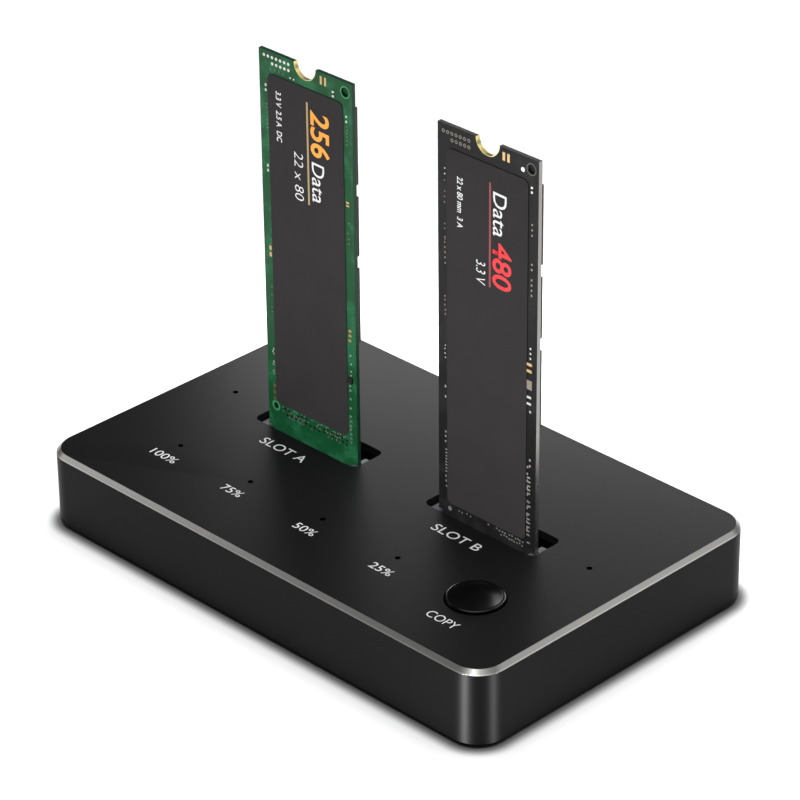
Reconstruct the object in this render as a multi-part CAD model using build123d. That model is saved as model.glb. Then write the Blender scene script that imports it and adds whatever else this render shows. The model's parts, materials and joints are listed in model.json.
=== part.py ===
from build123d import *
import os

# A desktop docking station for two plug-in drive cards. Millimetres, +Z up, +X to the right seen
# from the front, the front is -Y. The origin is the centre of the footprint, on the surface that
# the rubber feet stand on.

# Case: one piece, four walls and a top plate, open below
case_length = 104.0
case_width = 66.0
case_top = 14.5
corner_radius = 5.5
edge_bevel = 0.8
wall = 1.8
plate = 1.5

# Base plate, let into a rebate at the foot of the walls
foot_rise = 0.8
base_thickness = 1.2
rebate_lip = 1.0
seam_gap = 0.15
rib_thickness = 1.0
rib_gap = 0.2

# Rubber feet, glued under the base plate
foot_diameter = 8.0
foot_inset = 11.5
foot_edge = 0.3

# Screws: M2, countersunk ones for the base and pan heads for the main board
screw_radius = 1.0
thread_gap = 0.02
hole_gap = 0.1
head_radius = 1.9
pan_height = 1.2
base_screw_reach = 5.0
board_screw_reach = 1.5
head_sink = 0.05
cross_width = 0.4
cross_depth = 0.5
boss_wall = 1.5
boss_inset = 3.7

# Main board
board_thickness = 1.0
board_gap = 1.2
pillar_gap = 1.0
standoff_rise = 1.0
standoff_radius = 2.5

# Drive slots in the top plate, one left and one right
bay_pitch = 41.4
slot_end_gap = 0.4
slot_width = 7.2
slot_radius = 1.3
slot_y = 2.7

# Drive card: the standard 22 x 80 mm format with its keyed edge
card_width = 22.0
card_length = 80.0
card_thickness = 0.8
card_seat = 0.6
card_offset = 0.9
tongue_step = 1.075
tongue_length = 4.0
key_width = 1.2
key_height = 3.5
key_m = -6.125
key_b = 5.625
notch_radius = 2.6
notch_plating = 0.1
hole_radius = 0.85
hole_depth = 0.5
hole_inset = 1.6
hole_drop = 1.8

# Edge fingers and the socket contacts that meet them
pin_pitch = 0.5
pin_margin = 0.6
pin_stagger = 0.25
key_blank = 1.0
finger_width = 0.35
finger_length = 2.5
finger_start = 0.5
finger_thickness = 0.03
contact_gap = 0.05
contact_width = 0.22
contact_thickness = 0.15
contact_tail = 2.9
contact_leg = 1.35
contact_flare = 0.4
chamber_width = 0.3
chamber_depth = 1.75

# Card sockets
socket_depth = 5.0
socket_height = 4.4
socket_foot = 0.2
socket_lift = 0.05
tongue_gap = 0.1
key_gap = 0.1
lead_in = 0.3
ear_overlap = 1.1
ear_wall = 0.95
ear_gap = 0.15
ear_drop = 1.1
ear_rounding = 0.3

# Label and back-side packages of the drives
label_thickness = 0.15
label_side = 2.1
label_top = 3.9
label_above_case = 3.8
label_radius = 1.2
package_height = 1.0
package_side = 0.5
package_margin = 3.5
package_gap = 2.2
memory_length = 14.0
controller_length = 11.0
controller_width = 12.0
package_top = 4.6
package_edge = 0.12
part_length = 1.0
part_width = 0.5
part_height = 0.5
part_pitch = 2.6
part_inset = 1.2
part_count = 20

# Lights: four progress lights and the button share a row
light_pitch = 17.6
row_inset = 16.7
status_inset = 9.8
status_y = 3.1
light_radius = 0.5
guide_gap = 0.05
guide_leg = 1.8
guide_bar_width = 3.0
guide_bar_height = 1.6
guide_sink = 0.05
lamp_length = 1.6
lamp_width = 0.8
lamp_height = 0.7
lamp_gap = 0.3

# Copy button and the push switch under it
button_radius = 5.0
button_gap = 0.2
button_proud = 0.5
button_rim = 0.4
button_dish = 0.35
dish_floor = 2.6
button_flange = 1.0
flange_height = 0.8
flange_gap = 0.05
button_shell = 1.1
stem_radius = 1.6
press_travel = 0.35
switch_size = 6.0
switch_height = 3.4
switch_floor = 1.0
cover_thickness = 0.3
cavity_radius = 2.4
plunger_radius = 1.75
plunger_flange = 2.2
plunger_gap = 0.1
plunger_rise = 1.8
dome_radius = 2.2
dome_crown = 1.2
dome_flat = 0.2
dome_thickness = 0.1

# Data port on the rear wall
port_x = 0.0
port_width = 8.94
port_height = 3.26
port_sheet = 0.3
port_length = 7.6
port_recess = 0.2
port_gap = 0.25
tongue_plate_width = 6.69
tongue_plate_height = 0.7
tongue_plate_recess = 0.9
port_back = 2.0

# Power jack on the rear wall
jack_inset = 30.0
jack_width = 9.0
jack_height = 8.4
jack_length = 11.5
jack_nose = 3.8
jack_bore = 3.2
jack_depth = 9.5
jack_pin = 1.0
jack_pin_recess = 1.0
jack_pin_tip = 0.6
jack_gap = 0.2
inner_gap = 0.1

# Power slide switch on the rear wall
slide_inset = 28.0
slide_width = 8.6
slide_height = 3.6
slide_depth = 3.5
slide_travel = 2.5
knob_width = 3.0
knob_height = 1.8
knob_flange = 0.5
knob_plate = 1.0
knob_gap = 0.1
knob_recess = 0.2
window_gap = 0.4

# Electronics on the main board
chip_size = 9.0
chip_height = 0.9
chip_gap = 1.1
coil_size = 4.2
coil_height = 2.0
coil_inset = 14.0
coil_pitch = 7.0
can_radius = 2.5
can_height = 5.4
can_inset = 15.0
can_pitch = 6.5
can_foot = 0.8
crystal_length = 3.2
crystal_width = 2.5
crystal_height = 0.7

# Levels and places that follow from the sizes above
base_top = foot_rise + base_thickness
board_low = base_top + standoff_rise
board_top = board_low + board_thickness
plate_under = case_top - plate
inner_length = case_length - 2 * wall
inner_width = case_width - 2 * wall
pillar = boss_inset + screw_radius + boss_wall
board_length = inner_length - 2 * board_gap
board_width = inner_width - 2 * board_gap
rear_inside = inner_width / 2
rear_outside = case_width / 2
row_y = row_inset - case_width / 2
button_x = 2 * light_pitch
slot_length = card_width + 2 * (ear_gap + ear_wall + slot_end_gap)
card_mid = slot_y - card_offset
tongue_width = card_width - 2 * tongue_step
pin_steps = int((tongue_width - 2 * pin_margin) / pin_pitch)
card_bottom = board_top + card_seat
card_top = card_bottom + card_length
card_front = card_mid - card_thickness / 2
card_back = card_mid + card_thickness / 2
socket_top = board_top + socket_height
ear_top = case_top - ear_drop
left_x = -bay_pitch / 2
right_x = bay_pitch / 2
jack_x = case_length / 2 - jack_inset
slide_x = slide_inset - case_length / 2
chip_y = rear_inside - inner_gap - jack_length - chip_gap - chip_size / 2
coil_x = board_length / 2 - coil_inset
can_x = can_inset - board_length / 2
dome_height = press_travel + dome_flat
boss_places = [(sx * (inner_length / 2 - boss_inset), sy * (inner_width / 2 - boss_inset))
               for sx in (-1, 1) for sy in (-1, 1)]
pillar_places = [(sx * (inner_length - pillar) / 2, sy * (inner_width - pillar) / 2)
                 for sx in (-1, 1) for sy in (-1, 1)]
foot_places = [(sx * (case_length / 2 - foot_inset), sy * (case_width / 2 - foot_inset))
               for sx in (-1, 1) for sy in (-1, 1)]
progress_places = [((i - 2) * light_pitch, row_y) for i in range(4)]
status_places = [(sx * (case_length / 2 - status_inset), status_y) for sx in (-1, 1)]


def slab(length, width, radius, low, high, x=0, y=0):
    """A flat block with rounded corners seen from above."""
    return Pos(x, y, low) * extrude(RectangleRounded(length, width, radius), high - low)


def disc(radius, low, high, x=0, y=0):
    """An upright round bar."""
    return Pos(x, y, low) * extrude(Circle(radius), high - low)


def cone(low_radius, high_radius, low, high, x=0, y=0):
    """An upright cone frustum."""
    return Pos(x, y, (low + high) / 2) * Cone(low_radius, high_radius, high - low)


def block(x_low, x_high, y_low, y_high, z_low, z_high):
    """A plain block between two corners."""
    centre = Pos((x_low + x_high) / 2, (y_low + y_high) / 2, (z_low + z_high) / 2)
    return centre * Box(x_high - x_low, y_high - y_low, z_high - z_low)


def post(length, width, low, high, x=0, y=0):
    """A plain upright block about a centre seen from above."""
    return block(x - length / 2, x + length / 2, y - width / 2, y + width / 2, low, high)


def along_y(profile, front, back):
    """A profile drawn in X and Z, carried from y = front to y = back."""
    return extrude(Plane.XZ.offset(-back) * profile, back - front, dir=(0, -1, 0))


def along_x(profile, left, right):
    """A profile drawn in Y and Z, carried from x = left to x = right."""
    return extrude(Plane.YZ.offset(left) * profile, right - left, dir=(1, 0, 0))


def turned(points, x=0, y=0):
    """A body of revolution about an upright axis, from radius and height points."""
    return Pos(x, y, 0) * revolve(Plane.XZ * make_face(Polyline(*points, close=True)), Axis.Z)


def cross_recess(radius, face, into, x, y):
    """The driver recess of a screw head, cut from its face."""
    low, high = sorted((face, face + into))
    arm = radius * 0.6
    half = cross_width / 2
    return (block(x - arm, x + arm, y - half, y + half, low, high)
            + block(x - half, x + half, y - arm, y + arm, low, high))


def housing():
    """The case: rounded walls and top plate, bevelled top edge, corner pillars and openings."""
    case = slab(case_length, case_width, corner_radius, foot_rise, case_top)
    case = chamfer(case.faces().sort_by(Axis.Z)[-1].edges(), edge_bevel)
    cavity = post(inner_length, inner_width, base_top, plate_under)
    for x, y in pillar_places:
        cavity -= post(pillar, pillar, base_top, plate_under, x, y)
    case -= cavity
    case -= slab(case_length - 2 * rebate_lip, case_width - 2 * rebate_lip,
                 corner_radius - rebate_lip, foot_rise, base_top)
    for x, y in boss_places:
        case -= disc(screw_radius + thread_gap, base_top, base_top + base_screw_reach + hole_gap, x, y)
    for x in (left_x, right_x):
        case -= slab(slot_length, slot_width, slot_radius, plate_under, case_top, x, slot_y)
    case -= disc(button_radius + button_gap, plate_under, case_top, button_x, row_y)
    for x, y in progress_places + status_places:
        case -= disc(light_radius, plate_under, case_top, x, y)
    port_cut = Pos(port_x, port_middle) * SlotOverall(port_width + 2 * port_gap, port_height + 2 * port_gap)
    case -= along_y(port_cut, rear_inside, rear_outside)
    case -= along_y(Pos(jack_x, jack_middle) * Circle(jack_nose + jack_gap), rear_inside, rear_outside)
    case -= along_y(Pos(slide_x, slide_middle) * RectangleRounded(window_width, window_height, window_gap),
                    rear_inside, rear_outside)
    return case


def base_plate():
    """The base: a plate in the rebate, with stand-offs and stiffening ribs inside."""
    plate_length = case_length - 2 * (rebate_lip + seam_gap)
    plate_width = case_width - 2 * (rebate_lip + seam_gap)
    base = slab(plate_length, plate_width, corner_radius - rebate_lip - seam_gap, foot_rise, base_top)
    rib_length = 2 * (foot_places[-1][0] - standoff_radius) - rib_thickness
    for y in (foot_places[0][1], foot_places[-1][1]):
        base += block(-rib_length / 2, rib_length / 2, y - rib_thickness / 2, y + rib_thickness / 2,
                      base_top, board_low - rib_gap)
    for x, y in foot_places:
        base += disc(standoff_radius, base_top, board_low, x, y)
        base -= disc(screw_radius + thread_gap, board_low - board_screw_reach - hole_gap, board_low, x, y)
    for x, y in boss_places:
        base -= disc(screw_radius + hole_gap, foot_rise, base_top, x, y)
        base -= cone(head_radius + hole_gap, screw_radius + hole_gap, foot_rise,
                     foot_rise + head_radius - screw_radius, x, y)
    return base


def rubber_feet():
    """Four round feet with a softened lower edge."""
    radius = foot_diameter / 2
    points = [(0, 0), (radius - foot_edge, 0), (radius, foot_edge), (radius, foot_rise), (0, foot_rise)]
    return [turned(points, x, y) for x, y in foot_places]


def base_screws():
    """Countersunk screws up through the base plate into the case bosses."""
    face = foot_rise + head_sink
    neck = face + head_radius - screw_radius
    tip = base_top + base_screw_reach
    points = [(0, face), (head_radius, face), (screw_radius, neck), (screw_radius, tip), (0, tip)]
    return [turned(points, x, y) - cross_recess(head_radius, face, cross_depth, x, y)
            for x, y in boss_places]


def board_screws():
    """Pan-head screws down through the main board into the base plate's stand-offs."""
    tip = board_low - board_screw_reach
    head = board_top + pan_height
    return [disc(screw_radius, tip, board_top, x, y) + disc(head_radius, board_top, head, x, y)
            for x, y in foot_places]


def main_board():
    """The circuit board, cut back at its corners round the case's pillars."""
    board = post(board_length, board_width, board_low, board_top)
    cut = pillar + 2 * pillar_gap
    for x, y in pillar_places:
        board -= post(cut, cut, board_low, board_top, x, y)
    for x, y in foot_places:
        board -= disc(screw_radius + hole_gap, board_low, board_top, x, y)
    return board


def pin_rows(keys):
    """Pin places of the two faces: x and side, the front row -1 and the staggered back row +1."""
    front = [pin_pitch * (i - pin_steps / 2) for i in range(pin_steps + 1)]
    back = [x + pin_stagger for x in front[:-1]]
    places = [(x, -1) for x in front] + [(x, 1) for x in back]
    return [(x, side) for x, side in places if all(abs(x - key) > key_blank for key in keys)]


def socket_body(x, key):
    """A card socket: a comb of contact grooves, a keyed tongue slot and two guide ears."""
    half = card_width / 2 + ear_gap + ear_wall
    ear_inner = card_width / 2 - ear_overlap
    foot_half = half - ear_wall
    under = board_top + socket_foot
    outline = Polygon((-half, board_top), (-foot_half, board_top), (-foot_half, under), (foot_half, under),
                      (foot_half, board_top), (half, board_top), (half, ear_top), (ear_inner, ear_top),
                      (ear_inner, socket_top), (-ear_inner, socket_top), (-ear_inner, ear_top),
                      (-half, ear_top), align=None)
    body = along_y(outline, card_mid - socket_depth / 2, card_mid + socket_depth / 2)
    body = chamfer(body.faces().group_by(Axis.Z)[-1].edges(), ear_rounding)
    slot_half = tongue_width / 2 + tongue_gap
    slot_gap = card_thickness / 2 + tongue_gap
    slot_floor = card_bottom - socket_lift
    body -= block(-slot_half, slot_half, card_mid - slot_gap, card_mid + slot_gap, slot_floor, socket_top)
    mouth = Polygon((card_mid - slot_gap - lead_in, socket_top), (card_mid + slot_gap + lead_in, socket_top),
                    (card_mid + slot_gap, socket_top - lead_in), (card_mid - slot_gap, socket_top - lead_in),
                    align=None)
    body -= along_x(mouth, -ear_inner, ear_inner)
    groove_half = card_width / 2 + ear_gap
    groove_gap = card_thickness / 2 + ear_gap
    body -= block(-groove_half, groove_half, card_mid - groove_gap, card_mid + groove_gap,
                  socket_top, ear_top)
    grooves = [post(chamber_width, chamber_depth - slot_gap, under, socket_top,
                    px, card_mid + side * (slot_gap + chamber_depth) / 2)
               for px, side in pin_rows([key])]
    body = body - grooves
    rib_half = key_width / 2 - key_gap
    body += block(key - rib_half, key + rib_half, card_mid - slot_gap, card_mid + slot_gap,
                  slot_floor, card_bottom + key_height - key_width / 2 - key_gap)
    return Pos(x, 0, 0) * body


def socket_contacts(x, key):
    """The spring contacts of a socket: a solder tail, a leg, a bent arm and a lead-in flare."""
    bump = card_thickness / 2 + finger_thickness + contact_gap
    bump_z = card_bottom + finger_start + finger_length / 2
    flare_z = bump_z + finger_length / 3
    inner = [(contact_tail, board_top), (contact_leg, board_top), (bump, bump_z),
             (bump + contact_flare, flare_z)]
    outer = [(bump + contact_flare + contact_thickness, flare_z), (bump + contact_thickness, bump_z),
             (contact_leg + contact_thickness, board_top + contact_thickness),
             (contact_tail, board_top + contact_thickness)]
    contacts = []
    for px, side in pin_rows([key]):
        outline = Polygon(*[(card_mid + side * y, z) for y, z in inner + outer], align=None)
        contacts.append(along_x(outline, x + px - contact_width / 2, x + px + contact_width / 2))
    return contacts


def drive_board(x, keys):
    """A drive card: full-width blank, narrower keyed tongue, half-round notch at the far end."""
    half = card_width / 2
    shoulder = card_bottom + tongue_length
    tongue_half = tongue_width / 2
    outline = Polygon((-tongue_half, card_bottom), (tongue_half, card_bottom), (tongue_half, shoulder),
                      (half, shoulder), (half, card_top), (-half, card_top), (-half, shoulder),
                      (-tongue_half, shoulder), align=None)
    outline -= Pos(0, card_top) * Circle(notch_radius)
    for key in keys:
        outline -= Pos(key, card_bottom) * SlotOverall(2 * key_height, key_width, rotation=90)
    board = along_y(outline, card_front, card_back)
    tooling_hole = Pos(half - hole_inset, card_top - hole_drop) * Circle(hole_radius)
    board -= along_y(tooling_hole, card_front, card_front + hole_depth)
    return Pos(x, 0, 0) * board


def drive_fingers(x, keys):
    """The gold edge fingers on both faces of a card's tongue."""
    low = card_bottom + finger_start
    pads = []
    for px, side in pin_rows(keys):
        face = card_mid + side * card_thickness / 2
        outside = face + side * finger_thickness
        pads.append(block(x + px - finger_width / 2, x + px + finger_width / 2,
                          min(face, outside), max(face, outside), low, low + finger_length))
    return pads


def drive_notch_plating(x):
    """The plated half ring that lines the notch."""
    ring = Circle(notch_radius) - Circle(notch_radius - notch_plating)
    ring &= Pos(0, -notch_radius) * Rectangle(2 * notch_radius, 2 * notch_radius)
    return along_y(Pos(x, card_top) * ring, card_front, card_back)


def drive_label(x):
    """The printed label on the front face."""
    low = case_top + label_above_case
    high = card_top - label_top
    sheet = Pos(x, (low + high) / 2) * RectangleRounded(card_width - 2 * label_side, high - low, label_radius)
    return along_y(sheet, card_front - label_thickness, card_front)


def package(x_low, x_high, z_low, z_high):
    """A moulded chip package on the back of a card, its outer edges broken."""
    body = block(x_low, x_high, card_back, card_back + package_height, z_low, z_high)
    return chamfer(body.faces().sort_by(Axis.Y)[-1].edges(), package_edge)


def package_column():
    """Heights of the memory, controller and memory packages, from the top down."""
    upper = card_top - package_top
    middle = upper - memory_length - package_gap
    lower = middle - controller_length - package_gap
    return upper, middle, lower


def drive_memory(x):
    """Two memory packages on the back of a card."""
    upper, middle, lower = package_column()
    left = x - card_width / 2 + package_margin
    right = x + card_width / 2 - package_side
    return [package(left, right, top - memory_length, top) for top in (upper, lower)]


def drive_controller(x):
    """The controller package between the memory packages."""
    upper, middle, lower = package_column()
    right = x + card_width / 2 - package_side
    return package(right - controller_width, right, middle - controller_length, middle)


def drive_parts(x):
    """The row of small capacitors along the left margin of a card's back."""
    centre = x - card_width / 2 + part_inset
    start = card_top - package_top - part_length
    return [block(centre - part_width / 2, centre + part_width / 2, card_back, card_back + part_height,
                  start - i * part_pitch - part_length / 2, start - i * part_pitch + part_length / 2)
            for i in range(part_count)]


def light_pin(x, y):
    """The pin of a light guide in its hole, and the leg that stands over its lamp."""
    return (disc(light_radius - guide_gap, plate_under, case_top - guide_sink, x, y)
            + post(guide_leg, guide_leg, board_top + lamp_height + lamp_gap,
                   plate_under - guide_bar_height, x, y))


def progress_light_guide():
    """One clear bar under the top plate that carries the four progress pins."""
    span = progress_places[-1][0] - progress_places[0][0] + guide_bar_width
    middle = (progress_places[-1][0] + progress_places[0][0]) / 2
    guide = post(span, guide_bar_width, plate_under - guide_bar_height, plate_under, middle, row_y)
    for x, y in progress_places:
        guide += light_pin(x, y)
    return guide


def status_light_guide(place):
    """A single light guide with a square flange under the top plate."""
    x, y = place
    flange = post(guide_bar_width, guide_bar_width, plate_under - guide_bar_height, plate_under, x, y)
    return flange + light_pin(x, y)


def indicator_leds():
    """The six lamps on the main board, one under each light guide leg."""
    return [block(x - lamp_length / 2, x + lamp_length / 2, y - lamp_width / 2, y + lamp_width / 2,
                  board_top, board_top + lamp_height)
            for x, y in progress_places + status_places]


def copy_button():
    """The button: a dished cap with a bevelled rim, a retaining flange and a stem."""
    top = case_top + button_proud
    flange_top = plate_under - flange_gap
    flange_low = flange_top - flange_height
    outer = button_radius + button_flange
    inner = button_radius - button_shell
    roof = top - button_dish - button_shell
    points = [(0, top - button_dish), (dish_floor, top - button_dish), (button_radius - button_rim, top),
              (button_radius, top - button_rim), (button_radius, flange_top), (outer, flange_top),
              (outer, flange_low), (inner, flange_low), (inner, roof), (stem_radius, roof),
              (stem_radius, plunger_top), (0, plunger_top)]
    return turned(points, button_x, row_y)


def copy_switch_body():
    """The push switch's square base with its round chamber."""
    body = post(switch_size, switch_size, board_top, board_top + switch_height, button_x, row_y)
    return body - disc(cavity_radius, board_top + switch_floor, board_top + switch_height, button_x, row_y)


def copy_switch_cover():
    """The metal plate that closes the switch round its plunger."""
    low = board_top + switch_height
    cover = post(switch_size, switch_size, low, low + cover_thickness, button_x, row_y)
    return cover - disc(plunger_radius + plunger_gap, low, low + cover_thickness, button_x, row_y)


def copy_switch_dome():
    """The snap dome that springs the plunger back: a thin sheet, sloping sides and a flat crown."""
    base = board_top + switch_floor
    crown = base + dome_height
    points = [(0, crown), (dome_crown, crown), (dome_radius, base), (dome_radius - dome_thickness, base),
              (dome_crown - dome_thickness / 2, crown - dome_thickness), (0, crown - dome_thickness)]
    return turned(points, button_x, row_y)


def copy_switch_plunger():
    """The plunger between the snap dome and the button's stem."""
    low = board_top + switch_floor + dome_height + flange_gap
    shoulder = board_top + switch_height - flange_gap
    points = [(0, low), (plunger_flange, low), (plunger_flange, shoulder), (plunger_radius, shoulder),
              (plunger_radius, plunger_top), (0, plunger_top)]
    return turned(points, button_x, row_y)


def data_port_shell():
    """The drawn metal shell of the data port."""
    mouth = rear_outside - port_recess
    ring = (SlotOverall(port_width, port_height)
            - SlotOverall(port_width - 2 * port_sheet, port_height - 2 * port_sheet))
    return along_y(Pos(port_x, port_middle) * ring, mouth - port_length, mouth)


def data_port_tongue():
    """The insulator that closes the shell at the back, with the contact tongue."""
    mouth = rear_outside - port_recess
    back = mouth - port_length
    plug = SlotOverall(port_width - 2 * port_sheet, port_height - 2 * port_sheet)
    tongue = Rectangle(tongue_plate_width, tongue_plate_height)
    return (along_y(Pos(port_x, port_middle) * plug, back, back + port_back)
            + along_y(Pos(port_x, port_middle) * tongue, back + port_back, mouth - tongue_plate_recess))


def power_jack_body():
    """The moulded power jack: a block on the board with a round nose through the wall."""
    face = rear_inside - inner_gap
    mouth = rear_outside - port_recess
    outline = Pos(jack_x, jack_middle) * Rectangle(jack_width, jack_height)
    body = along_y(outline, face - jack_length, face)
    body += along_y(Pos(jack_x, jack_middle) * Circle(jack_nose), face, mouth)
    body -= along_y(Pos(jack_x, jack_middle) * Circle(jack_bore), mouth - jack_depth, mouth)
    body -= along_y(Pos(jack_x, jack_middle) * Circle(jack_pin + thread_gap), face - jack_length,
                    mouth - jack_depth)
    return body


def power_jack_pin():
    """The round centre pin of the power jack."""
    root = rear_inside - inner_gap - jack_length
    tip = rear_outside - port_recess - jack_pin_recess
    pin = along_y(Pos(jack_x, jack_middle) * Circle(jack_pin), root, tip)
    return chamfer(pin.faces().sort_by(Axis.Y)[-1].edges(), jack_pin_tip)


def power_switch_body():
    """The slide switch's frame, with the channel that its knob runs in."""
    face = rear_inside - inner_gap
    outline = Pos(slide_x, slide_middle) * Rectangle(slide_width, slide_height)
    body = along_y(outline, face - slide_depth, face)
    run = slide_travel + 2 * knob_gap
    throat = Rectangle(knob_width + run, knob_height + 2 * knob_gap)
    channel = Rectangle(knob_width + 2 * knob_flange + run, knob_height + 2 * (knob_flange + knob_gap))
    channel_front = face - knob_plate / 2
    body -= along_y(Pos(slide_x, slide_middle) * throat, channel_front, face)
    body -= along_y(Pos(slide_x, slide_middle) * channel, channel_front - knob_plate - 2 * knob_gap,
                    channel_front)
    return body


def power_switch_knob():
    """The sliding knob with its retaining plate, at the off end of its travel."""
    face = rear_inside - inner_gap
    x = slide_x - slide_travel / 2
    plate_front = face - knob_plate / 2 - knob_gap
    stem = Pos(x, slide_middle) * Rectangle(knob_width, knob_height)
    keeper = Pos(x, slide_middle) * Rectangle(knob_width + 2 * knob_flange, knob_height + 2 * knob_flange)
    return (along_y(stem, plate_front, rear_outside - knob_recess)
            + along_y(keeper, plate_front - knob_plate, plate_front))


def bridge_chips():
    """The two bridge chips, one behind each socket."""
    return [post(chip_size, chip_size, board_top, board_top + chip_height, x, chip_y)
            for x in (left_x, right_x)]


def power_coils():
    """The two moulded power coils."""
    return [post(coil_size, coil_size, board_top, board_top + coil_height,
                 coil_x, chip_y + i * coil_pitch / 2)
            for i in (-1, 1)]


def board_capacitors():
    """Two can capacitors on their square feet."""
    cans = []
    for i in (-1, 1):
        y = chip_y + i * can_pitch / 2
        foot = post(2 * can_radius, 2 * can_radius, board_top, board_top + can_foot, can_x, y)
        cans.append(foot + disc(can_radius, board_top + can_foot, board_top + can_height, can_x, y))
    return cans


def crystal():
    """The clock crystal between the bridge chips."""
    return post(crystal_length, crystal_width, board_top, board_top + crystal_height, 0, chip_y)


# Places on the rear wall and the height where the button's stem meets the plunger
port_middle = board_top + port_height / 2
jack_middle = board_top + jack_height / 2
slide_middle = board_top + slide_height / 2
window_width = knob_width + slide_travel + 2 * window_gap
window_height = knob_height + 2 * window_gap
plunger_top = board_top + switch_height + plunger_rise

nodes = {
    "housing": housing(),
    "base_plate": base_plate(),
    "rubber_feet": rubber_feet(),
    "base_screws": base_screws(),
    "board_screws": board_screws(),
    "main_board": main_board(),
    "progress_light_guide": progress_light_guide(),
    "left_status_light_guide": status_light_guide(status_places[0]),
    "right_status_light_guide": status_light_guide(status_places[1]),
    "indicator_leds": indicator_leds(),
    "copy_button": copy_button(),
    "copy_switch_body": copy_switch_body(),
    "copy_switch_cover": copy_switch_cover(),
    "copy_switch_dome": copy_switch_dome(),
    "copy_switch_plunger": copy_switch_plunger(),
    "data_port_shell": data_port_shell(),
    "data_port_tongue": data_port_tongue(),
    "power_jack_body": power_jack_body(),
    "power_jack_pin": power_jack_pin(),
    "power_switch_body": power_switch_body(),
    "power_switch_knob": power_switch_knob(),
    "bridge_chips": bridge_chips(),
    "power_coils": power_coils(),
    "board_capacitors": board_capacitors(),
    "crystal": crystal(),
}

# Each bay: its place, the key of its socket and the keys cut in its drive
bays = {
    "left": (left_x, key_b, [key_b, key_m]),
    "right": (right_x, key_m, [key_m]),
}
for side, (bay_x, socket_key, drive_keys) in bays.items():
    nodes[side + "_socket_body"] = socket_body(bay_x, socket_key)
    nodes[side + "_socket_contacts"] = socket_contacts(bay_x, socket_key)
    nodes[side + "_drive_board"] = drive_board(bay_x, drive_keys)
    nodes[side + "_drive_fingers"] = drive_fingers(bay_x, drive_keys)
    nodes[side + "_drive_notch_plating"] = drive_notch_plating(bay_x)
    nodes[side + "_drive_label"] = drive_label(bay_x)
    nodes[side + "_drive_memory"] = drive_memory(bay_x)
    nodes[side + "_drive_controller"] = drive_controller(bay_x)
    nodes[side + "_drive_parts"] = drive_parts(bay_x)

os.makedirs("parts", exist_ok=True)
for name, shape in nodes.items():
    solid = Compound(children=list(shape)) if isinstance(shape, list) else shape
    export_step(solid, f"parts/{name}.step")
    print(name, "volume", round(solid.volume, 3))
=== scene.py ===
# %% [markdown]
# A docking station for two plug-in drive cards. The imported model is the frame: its pieces are at
# their real size and place, and this script gives them their finish, the printed legends and the
# small parts on the cards. Everything is in metres, so sizes are written in millimetres times MM.

# %% The frame
import json
import math

import bmesh
import bpy
from mathutils import Matrix, Vector

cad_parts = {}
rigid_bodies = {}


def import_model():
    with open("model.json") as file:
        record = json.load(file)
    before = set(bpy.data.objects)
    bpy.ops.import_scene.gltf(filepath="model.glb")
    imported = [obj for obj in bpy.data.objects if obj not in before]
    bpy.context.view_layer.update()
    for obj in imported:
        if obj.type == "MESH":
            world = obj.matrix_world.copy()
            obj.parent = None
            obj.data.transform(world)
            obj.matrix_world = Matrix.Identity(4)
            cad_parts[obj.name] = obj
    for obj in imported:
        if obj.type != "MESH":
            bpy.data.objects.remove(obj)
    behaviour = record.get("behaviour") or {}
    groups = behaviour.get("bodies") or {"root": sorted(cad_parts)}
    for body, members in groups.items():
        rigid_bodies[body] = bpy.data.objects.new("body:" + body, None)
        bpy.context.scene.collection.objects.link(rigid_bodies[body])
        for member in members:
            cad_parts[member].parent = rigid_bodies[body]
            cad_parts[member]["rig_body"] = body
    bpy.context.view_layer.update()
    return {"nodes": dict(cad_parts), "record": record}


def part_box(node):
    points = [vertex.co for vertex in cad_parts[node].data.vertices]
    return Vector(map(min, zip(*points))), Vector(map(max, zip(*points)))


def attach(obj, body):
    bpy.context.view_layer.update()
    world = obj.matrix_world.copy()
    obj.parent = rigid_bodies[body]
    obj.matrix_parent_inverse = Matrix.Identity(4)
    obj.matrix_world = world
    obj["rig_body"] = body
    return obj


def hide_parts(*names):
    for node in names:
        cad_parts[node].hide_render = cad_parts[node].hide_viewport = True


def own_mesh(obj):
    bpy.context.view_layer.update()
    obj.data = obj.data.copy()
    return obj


MM = 0.001
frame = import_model()
nodes = frame["nodes"]
record = frame["record"]
slot_of = {row["node"]: row["material_slot"] for row in record["subparts"]}
body_of = {node: body for body, names in record["behaviour"]["bodies"].items() for node in names}

# %% [markdown]
# The camera stands at the photograph's corner view, about 45 degrees round and 29 degrees up, with
# a long lens, so that the case's edges run nearly parallel.

# %% The camera
SENSOR = 36.0
LENS = 166.5
AZIMUTH = 45.165
ELEVATION = 29.293
ROLL = -0.56
DISTANCE = 618.5 * MM
TARGET = Vector((0.27, 1.80, 30.0)) * MM


def direction(azimuth, elevation):
    """The unit vector from the object towards a place round it, both angles in degrees."""
    a = math.radians(azimuth)
    e = math.radians(elevation)
    return Vector((math.sin(a) * math.cos(e), -math.cos(a) * math.cos(e), math.sin(e)))


camera = bpy.data.objects.new("camera", bpy.data.cameras.new("camera"))
bpy.context.scene.collection.objects.link(camera)
camera.data.sensor_width = SENSOR
camera.data.lens = LENS
camera.data.clip_start = 10 * MM
camera.data.clip_end = 20.0
camera.location = TARGET + direction(AZIMUTH, ELEVATION) * DISTANCE
facing = (-direction(AZIMUTH, ELEVATION)).to_track_quat("-Z", "Y").to_matrix()
camera.rotation_euler = (facing @ Matrix.Rotation(math.radians(ROLL), 3, "Z")).to_euler()
bpy.context.scene.camera = camera
bpy.context.scene.view_settings.view_transform = "Standard"
print("camera at", [round(x, 3) for x in camera.location])

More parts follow.
